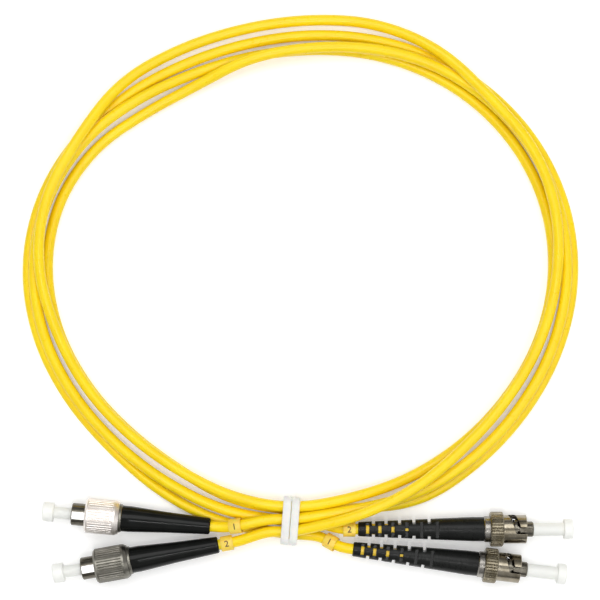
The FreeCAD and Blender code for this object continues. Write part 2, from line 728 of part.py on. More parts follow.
def lead_points(start, inner, end):
    """The route of a free stretch, square to what it meets at both ends."""
    first = start[0] + start[1] * LEAD_END
    last = end[0] - end[1] * LEAD_END
    return [start[0], first] + [V(*p) for p in inner] + [last, end[0]]


def place_marker(name, points):
    """A marker ring at its place along the X direction of a free stretch."""
    spot = MARKER_SPOTS[name]
    runs = [sorted((a, b), key=lambda p: p.x) for a, b in zip(points, points[1:])]
    for left, right in runs:
        if left.x <= spot <= right.x:
            break
    way = (right - left).normalize()
    centre = left + way * ((spot - left.x) / way.x)
    ring = marker()
    ring.rotate(V(0, 0, 0), V(0, 1, 0), -math.degrees(math.asin(way.z)))
    ring.rotate(V(0, 0, 0), V(0, 0, 1), math.degrees(math.atan2(way.y, way.x)))
    ring.translate(centre)
    write("marker_" + name, ring)
    print("marker", name, "centre", [round(v, 3) for v in centre], "axis", [round(v, 4) for v in way])


def screw_plug(number, pose):
    """All the pieces of one screw plug."""
    start = SCREW_BOOT + FACE_GAP
    face = holder_collar_face()
    tip = face - SCREW_FERRULE_SUNK + SCREW_FERRULE
    nose_end = start + STOP_BODY_NOSE
    mouth = start + SHANK_LENGTH + FRAME_LENGTH - CAP_OVERLAP
    fibre_end = face - SCREW_FERRULE_SUNK - FERRULE_PUSH - FIBRE_ROOM
    coil_radius = HOLDER_TUBE / 2 + SCREW_SPRING_ROOM + WIRE / 2
    spring_start = nose_end + FACE_GAP
    spring_end = face - HOLDER_COLLAR - FACE_GAP
    pieces = {
        "boot": screw_boot(),
        "stripped_end": stripped_end(SCREW_POST_START, fibre_end),
        "crimp": crimp_sleeve(SCREW_POST_START, SCREW_BODY_START),
        "stop_body": stop_body(),
        "frame": plug_frame(),
        "holder": ferrule_holder(),
        "ferrule": ferrule(face - SCREW_FERRULE_SUNK, tip),
        "spring": spring(spring_start, spring_end, coil_radius, SCREW_SPRING_TURNS),
        "bush": nut_bush(),
        "nut": coupling_nut(),
        "cap": dust_cap(mouth, tip, SCREW_CAP),
    }
    for name, shape in pieces.items():
        write("screw_" + number + "_" + name, laid(shape, pose))
    print("screw plug", number, "nose at", round(tip + CAP_ROOM + SCREW_CAP[2], 2), "ferrule tip",
          round(tip, 2))


def bayonet_plug(number, pose):
    """All the pieces of one bayonet plug."""
    barrel, lip_start, front = bayonet_barrel()
    lip = lip_start + BAYONET_LIP
    tip = front + BAYONET_FERRULE_OUT
    washer = tube(lip + FACE_GAP, lip + FACE_GAP + WASHER_LENGTH, SLEEVE / 2 - SLEEVE_WALL - 2 * RUNNING,
                  BAYONET_SHANK / 2 + 2 * RUNNING)
    coil_radius = BAYONET_SHANK / 2 + BAYONET_SPRING_ROOM + WIRE / 2
    spring_start = lip + WASHER_LENGTH + 2 * FACE_GAP
    pieces = {
        "boot": bayonet_boot(),
        "stripped_end": stripped_end(BAYONET_POST_START, tip - BAYONET_FERRULE - FIBRE_ROOM),
        "crimp": crimp_sleeve(BAYONET_POST_START, BAYONET_BODY_START),
        "rear_ring": rear_ring(),
        "barrel": barrel,
        "ferrule": ferrule(tip - BAYONET_FERRULE, tip),
        "washer": washer,
        "spring": spring(spring_start, spring_start + BAYONET_SPRING, coil_radius, BAYONET_SPRING_TURNS),
        "nut": bayonet_nut(lip_start),
        "cap": dust_cap(front + FACE_GAP, tip, BAYONET_CAP),
    }
    for name, shape in pieces.items():
        write("bayonet_" + number + "_" + name, laid(shape, pose))
    print("bayonet plug", number, "nose at", round(tip + CAP_ROOM + BAYONET_CAP[2], 2), "lip",
          round(lip_start, 2), "front", round(front, 2))


def boot_tail(pose):
    """Where the cord leaves a boot, and the way along the cord from left to right there."""
    x, y, heading = pose
    turn = math.radians(heading)
    side = 1 if math.cos(turn) > 0 else -1
    return V(x, y, PLUG_HEIGHT), V(math.cos(turn), math.sin(turn), 0) * side


def main():
    os.makedirs("parts", exist_ok=True)
    paths = {}
    for number in ("1", "2"):
        other = "2" if number == "1" else "1"
        screw_plug(number, SCREW_PLUGS[number])
        bayonet_plug(number, BAYONET_PLUGS[number])
        edges, start, end = coil(number)
        paths[number] = edges
        solid, length, share = cord_solid(edges, *start)
        write("cord_" + number + "_coil", solid)
        total = length
        print("coil", number, "length", round(length, 1), "volume share", round(share, 4),
              "gap to itself", round(least_gap(edges, edges, True), 2))
        points = lead_points(boot_tail(SCREW_PLUGS[number]), SCREW_LEADS[number], start)
        far_points = lead_points(end, BAYONET_LEADS[other], boot_tail(BAYONET_PLUGS[other]))
        for kind, run, mark in (("screw", points, number), ("bayonet", far_points, other)):
            edges, radii = lead(run)
            solid, length, share = cord_solid(edges, run[0], run[1] - run[0])
            write("cord_" + number + "_lead_" + kind, solid)
            place_marker(kind + "_" + mark, run)
            total += length
            print("lead", number, kind, "length", round(length, 1), "volume share", round(share, 4),
                  "radii", [round(r, 1) for r in radii])
        print("cord", number, "outside the boots", round(total, 1))
    write("tie", tie())
    print("gap between the two coils", round(least_gap(paths["1"], paths["2"], False), 2))


main()
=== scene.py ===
import json
import math

import bmesh
import bpy
from mathutils import Euler, Matrix, Vector


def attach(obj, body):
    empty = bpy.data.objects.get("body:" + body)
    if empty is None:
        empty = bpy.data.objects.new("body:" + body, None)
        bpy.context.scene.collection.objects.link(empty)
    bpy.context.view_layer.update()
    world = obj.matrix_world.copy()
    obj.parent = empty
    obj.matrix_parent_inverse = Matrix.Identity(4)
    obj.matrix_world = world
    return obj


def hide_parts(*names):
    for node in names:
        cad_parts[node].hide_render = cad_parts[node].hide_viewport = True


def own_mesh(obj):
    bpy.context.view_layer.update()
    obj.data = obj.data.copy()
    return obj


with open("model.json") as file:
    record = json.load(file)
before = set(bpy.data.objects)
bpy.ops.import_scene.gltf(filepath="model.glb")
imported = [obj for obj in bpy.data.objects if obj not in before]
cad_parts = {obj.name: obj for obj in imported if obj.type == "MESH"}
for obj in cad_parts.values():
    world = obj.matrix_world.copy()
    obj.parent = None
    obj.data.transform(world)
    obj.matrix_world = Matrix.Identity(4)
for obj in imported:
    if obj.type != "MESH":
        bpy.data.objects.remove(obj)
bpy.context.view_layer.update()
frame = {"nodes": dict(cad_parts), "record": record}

# Looks of a tied duplex fiber optic patch cord. Lengths below are in millimetres and angles in
# degrees, as in the part's source, and MM turns the lengths into the scene's metres.
MM = 0.001

# Cord and its clearances
JACKET = 3.0
STRAND_GAP = 0.45
FLOOR_ROOM = 0.03
TIE_PLAY = 0.3

# Plug poses: where the cord leaves the boot, and the heading of the plug from there to its nose
PLUG_HEIGHT = 4.8
SCREW_PLUGS = {"1": (-27.2, 4.2, 174.9), "2": (-24.9, -0.9, 190.0)}
BAYONET_PLUGS = {"1": (13.6, 3.4, 0.0), "2": (12.2, -2.1, -6.8)}
FAR_PLUG = {"1": "2", "2": "1"}

# Where a plug's faces change their material: half width and foot of the frame's key, where its
# painted highlight meets the painted shade of the frame's body, and end of the knurl
KEY_SIDE = 1.02
KEY_FOOT = 3.06
KNURL_END = 40.01

# Tie: two turns of one band
TIE_X = -5.1
TIE_BAND = 2.1
TIE_BAND_GAP = 0.25
TIE_THICKNESS = 0.9
TIE_CORNER = 1.6
TIE_CORNER_STEPS = 8
TIE_LEAN = -4.5
TIE_SEAM = 0.06

# Tie's section, from its foot to its raised core, as shares of half its thickness: the first
# points are measured in from the band's edge, the others out from its middle
TIE_EDGE = ((0.15, -1.0), (0.0, -0.225), (0.0, 0.225), (0.12, 0.6), (0.35, 0.88))
TIE_CORE = ((0.3, 0.8), (0.12, 1.0))

# Ring of strands. The outer strand's radius is a mean with four waves of cosine and sine.
RING_X = -2.4
RING_Y = 73.6
TIE_RADIUS = 68.4
HIGH_SHIFT = 1.0
MEAN_RADIUS = 71.57
WAVES = ((0.79, -1.09), (3.64, 0.61), (-0.70, 0.98), (0.49, -0.14))
SPREAD = 5.5
SPREAD_SWING = 1.5
VALLEY = 2.0
OUTSIDE = 4.2
STEPS = 48
START_ANGLE = 268.5
END_ANGLE = 987.3
SMALL_TURN = 0.1
PITCH = JACKET + STRAND_GAP
FLOOR = JACKET / 2 + FLOOR_ROOM
LOW = FLOOR + TIE_PLAY + TIE_THICKNESS
HIGH = LOW + math.sqrt(PITCH ** 2 - HIGH_SHIFT ** 2)
MIDDLE = FLOOR + math.sqrt(PITCH ** 2 - VALLEY ** 2)

# Journeys of the two cords round the ring: angle, place and how far the way there is lifted.
# A place is a name, or how far it lies inside the outer strand and how high.
JOURNEYS = {
    "1": ((262, "column 2 high", 0), (269, "column 2 high", 0), (281, (4.4, 5.85), 0),
          (293, (2.7, 5.3), 0), (312, "middle", 0),
          (412, "middle", 0), (456, (4.2, 5.45), 0.1), (484, (7.1, FLOOR), 0.9),
          (490, (7.1, FLOOR), 0), (520, "inner", 0), (590, "inner", 0),
          (620, "column 1 low", 0), (634, "column 1 low", 0),
          (662, "outer", 0), (935, "outer", 0), (972, "column 3 floor", 0),
          (986, "column 3 low", 0), (998, "column 3 low", 0)),
    "2": ((262, "column 3 high", 0), (269, "column 3 high", 0), (284, (2.8, 8.95), 0.5),
          (298, (4.4, 8.5), 0), (322, "top", 0.5), (348, "top", 0), (401, (1.8, 8.0), 1.2),
          (430, "far", 1.3), (486, "far", 0), (517, (1.9, 8.2), 1.3), (556, "top", 1.4),
          (590, "top", 0), (624, "column 1 high", 0),
          (629, "column 1 high", 0), (642, (7.6, 5.0), 0), (668, "inner", 0), (808, "inner", 0),
          (834, (3.47, FLOOR), 0), (840, (3.47, FLOOR), 0), (868, "middle", 0.8),
          (950, "middle", 0), (984, "column 2 low", 0), (998, "column 2 low", 0)),
}

# Free stretches: the points between the straight ends at the boot and at the tie
LEAD_END = 2.6
SCREW_LEADS = {
    "1": ((-22.4, 4.05, 5.25), (-18.3, 4.65, 6.05), (-14.2, 5.7, 6.15)),
    "2": ((-19.0, 0.2, 5.1), (-15.6, 1.45, 5.6), (-12.4, 2.5, 5.95)),
}
BAYONET_LEADS = {
    "1": ((3.0, 4.8, 3.05), (5.8, 4.2, 3.8), (8.4, 3.58, 4.53)),
    "2": ((2.6, 1.25, 2.9), (4.9, 0.35, 3.5), (7.2, -0.85, 4.3)),
}

# Smoothness of the cords' tubes
ALONG = 8
AROUND = 8

# Marker rings, a little smaller than their solids so that they clear the smooth cords as they turn
MARKER_SPOTS = {"screw_1": -20.15, "screw_2": -22.6, "bayonet_1": 11.2, "bayonet_2": 6.1}
MARKER = 4.2
MARKER_BORE = 3.6
MARKER_BORE_ROOM = 0.02
MARKER_LENGTH = 3.4
MARKER_FLAT = 0.15
MARKER_SLIT = 1.0
MARKER_RIM = 0.12
MARKER_RIM_SHARE = 0.3
MARKER_STEPS = 56
DIGIT = 2.4
DIGIT_WEIGHT = 0.03
INK_THICKNESS = 0.02

# Finish: where the two tones lie on a noise's range, samples for a worn edge, the lightest tone of
# rubber by its darkest, and how far the roughness of rubber and metal strays below and above
TINT_START = 0.3
TINT_END = 0.7
BEVEL_SAMPLES = 4
RUBBER_LIGHTER = 1.6
RUBBER_SWING = (-0.02, 0.03)
METAL_SWING = (-0.05, 0.06)

# Table: half its side in metres, its own glow under the object and far from it, and where that
# changes, in metres from the origin
TABLE_HALF = 2
FLOOR_LIFT = 0.24
FAR_LIFT = 1.0
LIFT_START = 0.2
LIFT_END = 1.2

# Lamps in metres and watts: place, aim, size and power
LAMPS = {
    "key": ((-0.15, 0.5, 1.0), (0, 0.07, 0), (0.9, 0.6), 4.75),
    "fill": ((0.5, -0.3, 0.9), (0, 0.07, 0), (0.8, 0.8), 2.45),
    "accent": ((-0.003, -0.067, 0.6), (-0.003, -0.06, 0), (0.03, 0.13), 0.6),
}

# Room: brightness of its wall by the sine of the height over the horizon
ROOM = ((0.1, 1), (0.2, 0.12), (0.3, 0.16), (0.55, 0.54))

# Camera: the photograph's size and where the origin is in it, in pixels, and the lens
PHOTO = 600
ORIGIN_PIXEL = (308.7, 540)
PIXELS_PER_MM = 3.6
LENS = 120
SENSOR = 36
FARTHEST = 20


# Materials


def shader(name, color, roughness, **sockets):
    """A material with its Principled shader, ready for more nodes."""
    made = bpy.data.materials.new(name)
    made.use_nodes = True
    principled = made.node_tree.nodes["Principled BSDF"]
    principled.inputs["Base Color"].default_value = (*color, 1)
    principled.inputs["Roughness"].default_value = roughness
    for socket, value in sockets.items():
        principled.inputs[socket.replace("_", " ")].default_value = value
    return made


def node(made, kind, **values):
    """A new node. A value is for an input, named with _ for each space, or for a setting."""
    new = made.node_tree.nodes.new(kind)
    for key, value in values.items():
        if key.replace("_", " ") in new.inputs:
            new.inputs[key.replace("_", " ")].default_value = value
        else:
            setattr(new, key, value)
    return new


def link(made, source, target, output=0, into=0):
    made.node_tree.links.new(source.outputs[output], target.inputs[into])


def noise(made, size, detail=4.0, stretch=(1, 1, 1)):
    """Noise in the object's own space, with grains of the given size in millimetres."""
    place = node(made, "ShaderNodeTexCoord")
    scaled = node(made, "ShaderNodeMapping", Scale=stretch)
    grain = node(made, "ShaderNodeTexNoise", Scale=1 / (size * MM), Detail=detail)
    link(made, place, scaled, "Object", "Vector")
    link(made, scaled, grain, "Vector", "Vector")
    return grain


def tint(made, grain, low, high, socket="Base Color"):
    """Colours or grey levels of a socket that follow the noise between two values."""
    ramp = node(made, "ShaderNodeValToRGB")
    for element, position, tone in zip(ramp.color_ramp.elements, (TINT_START, TINT_END),
                                       (low, high)):
        element.position = position
        element.color = (*tone, 1) if isinstance(tone, tuple) else (tone, tone, tone, 1)
    link(made, grain, ramp, "Fac", "Fac")
    link(made, ramp, made.node_tree.nodes["Principled BSDF"], "Color", socket)


def relief(made, grain, depth, edge=0.0):
    """Surface grain of a given depth in millimetres over softly rounded edges."""
    bump = node(made, "ShaderNodeBump", Strength=1.0, Distance=depth * MM)
    link(made, grain, bump, "Fac", "Height")
    if edge:
        bevel = node(made, "ShaderNodeBevel", Radius=edge * MM, samples=BEVEL_SAMPLES)
        link(made, bevel, bump, "Normal", "Normal")
    link(made, bump, made.node_tree.nodes["Principled BSDF"], "Normal", "Normal")


def jacket_material():
    made = shader("jacket", (0.95, 0.69, 0.005), 0.32, Specular_IOR_Level=0.36,
                  Subsurface_Weight=0.15, Subsurface_Scale=0.0012, Subsurface_Radius=(1, 0.4, 0.02))
    tint(made, noise(made, size=9.0), (0.93, 0.66, 0.004), (0.97, 0.72, 0.007))
    tint(made, noise(made, size=2.0), 0.26, 0.38, "Roughness")
    relief(made, noise(made, size=0.5, detail=3.0), depth=0.003)
    return made


def rubber_material(name, gloss, shine, depth, tone):
    """Black boot rubber, faintly stained."""
    made = shader(name, tone, gloss, Specular_IOR_Level=shine)
    low, high = RUBBER_SWING
    tint(made, noise(made, size=4.0), tone, tuple(t * RUBBER_LIGHTER for t in tone))
    tint(made, noise(made, size=1.2), gloss + low, gloss + high, "Roughness")
    relief(made, noise(made, size=0.25, detail=3.0), depth, edge=0.12)
    return made


def metal_material(name, dark, light, gloss):
    """Plated brass: fine turning marks, slight stains and edges worn smooth."""
    made = shader(name, light, gloss, Metallic=1.0)
    low, high = METAL_SWING
    tint(made, noise(made, size=2.5, detail=6.0), dark, light)
    tint(made, noise(made, size=0.6, detail=5.0), gloss + low, gloss + high, "Roughness")
    relief(made, noise(made, size=0.3, detail=3.0), depth=0.002, edge=0.08)
    return made


def cap_material():
    """Milky soft plastic that lets some light through."""
    made = shader("soft_cap", (0.95, 0.965, 0.91), 0.36, IOR=1.46, Transmission_Weight=0.05,
                  Subsurface_Weight=0.3, Subsurface_Scale=0.002, Subsurface_Radius=(1, 1, 1))
    tint(made, noise(made, size=3.0), (0.94, 0.95, 0.89), (0.97, 0.98, 0.93))
    relief(made, noise(made, size=0.3), depth=0.01, edge=0.1)
    return made


def marker_material():
    made = shader("marker_plastic", (0.96, 0.64, 0.08), 0.4,
                  Subsurface_Weight=0.3, Subsurface_Scale=0.001)
    tint(made, noise(made, size=1.5), (0.94, 0.59, 0.055), (0.98, 0.69, 0.11))
    relief(made, noise(made, size=0.2), depth=0.012, edge=0.1)
    return made


def tie_material():
    made = shader("tie_plastic", (0.82, 0.82, 0.78), 0.42,
                  Subsurface_Weight=0.15, Subsurface_Scale=0.001)
    tint(made, noise(made, size=2.0), (0.78, 0.79, 0.77), (0.85, 0.84, 0.79))
    relief(made, noise(made, size=0.2, stretch=(1, 5, 5)), depth=0.015, edge=0.1)
    return made


def ceramic_material():
    made = shader("ceramic", (0.9, 0.89, 0.86), 0.12, Coat_Weight=0.4)
    tint(made, noise(made, size=1.0), (0.88, 0.87, 0.83), (0.93, 0.92, 0.9))
    relief(made, noise(made, size=0.2), depth=0.004, edge=0.06)
    return made


def fibre_material():
    """The buffered fibre and the jacket's cut end inside a plug."""
    made = shader("inner_jacket", (0.93, 0.62, 0.03), 0.4)
    tint(made, noise(made, size=3.0), (0.9, 0.57, 0.015), (0.95, 0.66, 0.05))
    relief(made, noise(made, size=0.3), depth=0.015)
    return made


def ink_material():
    made = shader("ink", (0.12, 0.03, 0.01), 0.55)
    tint(made, noise(made, size=0.4), (0.09, 0.02, 0.007), (0.17, 0.05, 0.015))
    relief(made, noise(made, size=0.15), depth=0.004)
    return made


def floor_material():
    """A pale, even table that shows white, also far from the lamps, and keeps the soft shadows."""
    made = shader("table", (0.93, 0.93, 0.92), 0.7, Specular_IOR_Level=0.2)
    tint(made, noise(made, size=60.0), (0.925, 0.925, 0.918), (0.935, 0.935, 0.93))
    rays = node(made, "ShaderNodeLightPath")
    seen = node(made, "ShaderNodeMath", operation="MAXIMUM")
    shown = node(made, "ShaderNodeMath", operation="MAXIMUM")
    lift = node(made, "ShaderNodeMath", operation="MULTIPLY")
    place = node(made, "ShaderNodeTexCoord")
    away = node(made, "ShaderNodeVectorMath", operation="LENGTH")
    fade = node(made, "ShaderNodeMapRange", From_Min=LIFT_START, From_Max=LIFT_END,
                To_Min=FLOOR_LIFT, To_Max=FAR_LIFT)
    glow = node(made, "ShaderNodeEmission")
    both = node(made, "ShaderNodeAddShader")
    link(made, rays, seen, "Is Camera Ray", 0)
    link(made, rays, seen, "Is Glossy Ray", 1)
    link(made, seen, shown, 0, 0)
    link(made, rays, shown, "Is Transmission Ray", 1)
    link(made, shown, lift, 0, 0)
    link(made, place, away, "Object", 0)
    link(made, away, fade, "Value", "Value")
    link(made, fade, lift, "Result", 1)
    link(made, lift, glow, 0, "Strength")
    link(made, made.node_tree.nodes["Principled BSDF"], both, 0, 0)
    link(made, glow, both, 0, 1)
    link(made, both, made.node_tree.nodes["Material Output"], 0, "Surface")
    return made


JACKET_LOOK = jacket_material()
GLOSSY_RUBBER = rubber_material("glossy_boot", gloss=0.12, shine=0.14, depth=0.0003,
                                tone=(0.005, 0.0055, 0.005))
SATIN_RUBBER = rubber_material("satin_boot", gloss=0.28, shine=0.17, depth=0.003,
                               tone=(0.0065, 0.007, 0.0065))
# A pale copy of nickel, painted as a highlight on the frame's key.
HIGHLIGHT_KEY_NICKEL = metal_material("key_nickel", (0.93, 0.92, 0.9), (0.97, 0.96, 0.95), 0.42)
# Lit and shaded copies of one nickel. The lighter one is a painted highlight on the first screw
# plug's nut. The darker one is painted shade on the second screw plug's nut and on both bushes.
LIT_COPY_NICKEL = metal_material("bright_nickel", (0.78, 0.725, 0.68), (0.88, 0.84, 0.8), 0.44)
SHADED_COPY_NICKEL = metal_material("dark_nickel", (0.15, 0.144, 0.122), (0.24, 0.23, 0.2), 0.34)
RING_NICKEL = metal_material("ring_nickel", (0.22, 0.208, 0.19), (0.32, 0.305, 0.28), 0.26)
KNURL_NICKEL = metal_material("knurl_nickel", (0.155, 0.132, 0.085), (0.27, 0.24, 0.18), 0.28)
SLEEVE_NICKEL = metal_material("sleeve_nickel", (0.2, 0.172, 0.12), (0.36, 0.325, 0.26), 0.18)
# A dark copy of nickel, painted as shade on the frame's body and on the barrel.
SHADED_BARREL_NICKEL = metal_material("barrel_nickel", (0.1, 0.09, 0.07), (0.19, 0.178, 0.148), 0.2)
STEEL = metal_material("spring_steel", (0.5, 0.5, 0.52), (0.68, 0.68, 0.7), 0.22)
MARKER_LOOK = marker_material()
TIE_LOOK = tie_material()
INK = ink_material()
LOOKS = {"cap": cap_material(), "ferrule": ceramic_material(), "stripped_end": fibre_material(),
         "crimp": RING_NICKEL, "stop_body": RING_NICKEL, "holder": RING_NICKEL,
         "rear_ring": RING_NICKEL, "bush": SHADED_COPY_NICKEL, "frame": SHADED_BARREL_NICKEL,
         "barrel": SHADED_BARREL_NICKEL, "spring": STEEL, "washer": STEEL}


# Shapes


def piece(name, mesh, look, body, smooth=40):
    """A mesh as a piece of the object, with its material, its CAD body and its finish."""
    made = bpy.data.objects.new(name, mesh)
    bpy.context.scene.collection.objects.link(made)
    mesh.materials.clear()
    mesh.materials.append(look)
    mesh.shade_smooth()
    mesh.set_sharp_from_angle(angle=math.radians(smooth))
    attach(made, body)
    return made


def laid(pose):
    """The matrix to the scene from a plug's own axis, in millimetres from its boot's tail."""
    x, y, heading = pose
    turn = Matrix.Rotation(math.radians(heading), 4, "Z")
    return Matrix.Translation(Vector((x, y, PLUG_HEIGHT)) * MM) @ turn @ Matrix.Scale(MM, 4)


def skin(made, rings):
    """Faces between neighbouring rings of corners, and over the first and the last."""
    count = len(rings[0])
    for first, second in zip(rings, rings[1:]):
        for k in range(count):
            after = (k + 1) % count
            made.faces.new((first[k], first[after], second[after], second[k]))
    made.faces.new(rings[0])
    made.faces.new(list(reversed(rings[-1])))
    bmesh.ops.recalc_face_normals(made, faces=made.faces)


# Cords


def outer_lane(angle):
    """Radius of the outer strand: a circle with four slow waves."""
    turn = math.radians(angle)
    radius = MEAN_RADIUS
    for i, (along, across) in enumerate(WAVES, 1):
        radius += along * math.cos(i * turn) + across * math.sin(i * turn)
    return radius


def lane(place, angle):
    """Radius and height of a place in the bundle at an angle."""
    outer = outer_lane(angle)
    inner = outer - SPREAD + SPREAD_SWING * math.sin(math.radians(angle))
    if isinstance(place, tuple):
        return outer - place[0], place[1]
    if place.startswith("column"):
        column, level = place.split()[1:]
        heights = {"floor": FLOOR, "low": LOW, "high": HIGH}
        radius = TIE_RADIUS + (int(column) - 2) * PITCH
        return radius - (HIGH_SHIFT if level == "high" else 0), heights[level]
    places = {"outer": (outer, FLOOR), "middle": (outer - VALLEY, MIDDLE), "inner": (inner, FLOOR),
              "top": (inner, FLOOR + PITCH), "far": (outer + OUTSIDE, FLOOR)}
    return places[place]


def strand_point(cord, angle):
    """Where a cord is at an angle, eased from each place of its journey to the next.

    A lift is full half way there.
    """
    stops = JOURNEYS[cord]
    for (left, before, _), (reached, after, lift) in zip(stops, stops[1:]):
        if angle <= reached:
            break
    part = (angle - left) / (reached - left)
    ease = part * part * (3 - 2 * part)
    radius, height = lane(before, angle)
    next_radius, next_height = lane(after, angle)
    radius += (next_radius - radius) * ease
    height += (next_height - height) * ease + lift * 16 * part ** 2 * (1 - part) ** 2
    turn = math.radians(angle)
    return Vector((RING_X + radius * math.cos(turn), RING_Y + radius * math.sin(turn), height))


def strand_way(cord, angle):
    ahead, behind = strand_point(cord, angle + SMALL_TURN), strand_point(cord, angle - SMALL_TURN)
    return (ahead - behind).normalized()


def boot_tail(pose):
    """Where the cord leaves a boot, and the way along the cord from left to right there."""
    x, y, heading = pose
    turn = math.radians(heading)
    side = 1 if math.cos(turn) > 0 else -1
    return Vector((x, y, PLUG_HEIGHT)), Vector((math.cos(turn), math.sin(turn), 0)) * side


def coil_points(cord):
    """Control points of both turns, none under the floor.

    Each stands out by an eighth of the bend, so that the spline meets the lane.
    """
    step = (END_ANGLE - START_ANGLE) / STEPS
    marks = [strand_point(cord, START_ANGLE + step * i) for i in range(STEPS + 1)]
    inner = [b + (2 * b - a - c) / 8 for a, b, c in zip(marks, marks[1:], marks[2:])]
    for point in inner:
        point.z = max(point.z, FLOOR)
    return [marks[0]] + inner + [marks[-1]]


def lead_ends(cord):
    """The straight ends of both free stretches of a cord, square to the boots and to the tie."""
    tail, way = boot_tail(SCREW_PLUGS[cord])
    far_tail, far_way = boot_tail(BAYONET_PLUGS[FAR_PLUG[cord]])
    reach = LEAD_END + JACKET
    tie_in = strand_point(cord, START_ANGLE) - strand_way(cord, START_ANGLE) * reach
    tie_out = strand_point(cord, END_ANGLE) + strand_way(cord, END_ANGLE) * reach
    return (tail, tail + way * LEAD_END, tie_in), (tie_out, far_tail - far_way * LEAD_END, far_tail)


def cord_piece(cord):
    """One cord from boot to boot as a single smooth spline, and its two free stretches."""
    (tail, leave, tie_in), (tie_out, arrive, far_tail) = lead_ends(cord)
    first = [tail, leave] + [Vector(p) for p in SCREW_LEADS[cord]] + [tie_in]
    last = [tie_out] + [Vector(p) for p in BAYONET_LEADS[FAR_PLUG[cord]]] + [arrive, far_tail]
    points = first + coil_points(cord) + last
    data = bpy.data.curves.new("cord_" + cord, "CURVE")
    data.dimensions = "3D"
    spline = data.splines.new("NURBS")
    spline.points.add(len(points) - 1)
    for target, point in zip(spline.points, points):
        target.co = (*(point * MM), 1)
    spline.order_u = 3
    spline.use_endpoint_u = True
    spline.resolution_u = ALONG
    data.bevel_depth = JACKET / 2 * MM
    data.bevel_resolution = AROUND
    data.use_fill_caps = True
    data.materials.append(JACKET_LOOK)
    made = bpy.data.objects.new("cord_" + cord, data)
    bpy.context.scene.collection.objects.link(made)
    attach(made, "cord_set")
    solids = ["cord_" + cord + "_" + part for part in ("coil", "lead_screw", "lead_bayonet")]
    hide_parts(*solids)
    return first, last


# Markers


def marker_place(name, points):
    """The matrix of a marker at its place along the X direction of a free stretch."""
    spot = MARKER_SPOTS[name]
    for ends in zip(points, points[1:]):
        left, right = sorted(ends, key=lambda p: p.x)
        if left.x <= spot <= right.x:
            break
    way = (right - left).normalized()
    centre = left + way * ((spot - left.x) / way.x)
    turn = Euler((0, -math.asin(way.z), math.atan2(way.y, way.x))).to_matrix().to_4x4()
    return Matrix.Scale(MM, 4) @ Matrix.Translation(centre) @ turn


def ring_mesh(name, place):
    """An open ring about the X axis, with soft rims and a flat on top for its number."""
    half = MARKER_LENGTH / 2
    inside = MARKER_BORE / 2 + MARKER_BORE_ROOM
    outside = MARKER / 2
    shoulder = MARKER_RIM * MARKER_RIM_SHARE
    profile = [(-half, inside), (-half, outside - MARKER_RIM),
               (-half + shoulder, outside - shoulder), (-half + MARKER_RIM, outside),
               (half - MARKER_RIM, outside), (half - shoulder, outside - shoulder),
               (half, outside - MARKER_RIM), (half, inside)]
    gap = math.asin(MARKER_SLIT / 2 / outside)
    made = bmesh.new()
    rings = []
    for k in range(MARKER_STEPS + 1):
        angle = -math.pi / 2 + gap + (2 * math.pi - 2 * gap) * k / MARKER_STEPS
        ring = []
        for x, r in profile:
            height = r * math.sin(angle)
            if r > inside:
                height = min(height, r - MARKER_FLAT)
            ring.append(made.verts.new((x, r * math.cos(angle), height)))
        rings.append(ring)
    skin(made, rings)
    bmesh.ops.transform(made, matrix=place, verts=made.verts)
    mesh = bpy.data.meshes.new(name)
    made.to_mesh(mesh)
    made.free()
    return mesh


def digit_mesh(name, place, number):
    """A plain number that lies on the flat of a ring."""
    mark = bpy.data.curves.new(name, "FONT")
    mark.body = number
    mark.align_x = "CENTER"
    mark.align_y = "CENTER"
    mark.size = DIGIT
    mark.offset = DIGIT_WEIGHT
    mark.extrude = INK_THICKNESS / 2
    text = bpy.data.objects.new(name, mark)
    bpy.context.scene.collection.objects.link(text)
    bpy.context.view_layer.update()
    mesh = bpy.data.meshes.new_from_object(text)
    bpy.data.objects.remove(text)
    up = MARKER / 2 - MARKER_FLAT + INK_THICKNESS / 2
    mesh.transform(place @ Matrix.Translation((0, 0, up)))
    return mesh


def marker_piece(name, place, number):
    """A marker's open ring and its number."""
    body = "marker_" + name
    mesh = ring_mesh("ring_" + name, place)
    ring = piece("ring_" + name, mesh, MARKER_LOOK, body, smooth=30)
    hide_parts("marker_" + name)
    mesh = digit_mesh("number_" + name, place, number)
    piece("number_" + name, mesh, INK, body)


# Tie


def tie_stations():
    """The strip's way: place along the bundle, point across it and direction out of the tie."""
    inside_y = PITCH + JACKET / 2 + TIE_PLAY + HIGH_SHIFT / 2
    inside_top = HIGH + JACKET / 2 + TIE_PLAY
    half_y = inside_y + TIE_THICKNESS / 2
    low = TIE_THICKNESS / 2
    high = inside_top + TIE_THICKNESS / 2
    radius = TIE_CORNER + TIE_THICKNESS / 2
    foot = TIE_THICKNESS + TIE_CORNER

    def corner(y, z, start):
        turned = []
        for k in range(TIE_CORNER_STEPS + 1):
            angle = start - math.pi / 2 * k / TIE_CORNER_STEPS
            out = Vector((0, math.cos(angle), math.sin(angle)))
            turned.append((Vector((0, y, z)) + out * radius, out))
        return turned

    near = [(Vector((0, -half_y, foot)), Vector((0, -1, 0)))]
    over = (corner(-half_y + radius, high - radius, math.pi)
            + corner(half_y - radius, high - radius, math.pi / 2))
    under = corner(half_y - radius, low + radius, 0)
    rise = corner(-half_y + radius, low + radius, -math.pi / 2)
    far = [(Vector((0, half_y, foot)), Vector((0, 1, 0)))]
    shift = (TIE_BAND + TIE_BAND_GAP) / 2
    first = [(TIE_X - shift, point, out) for point, out in near + over + under]
    second = [(TIE_X + shift, point, out) for point, out in rise + near + over + far]
    return first + second


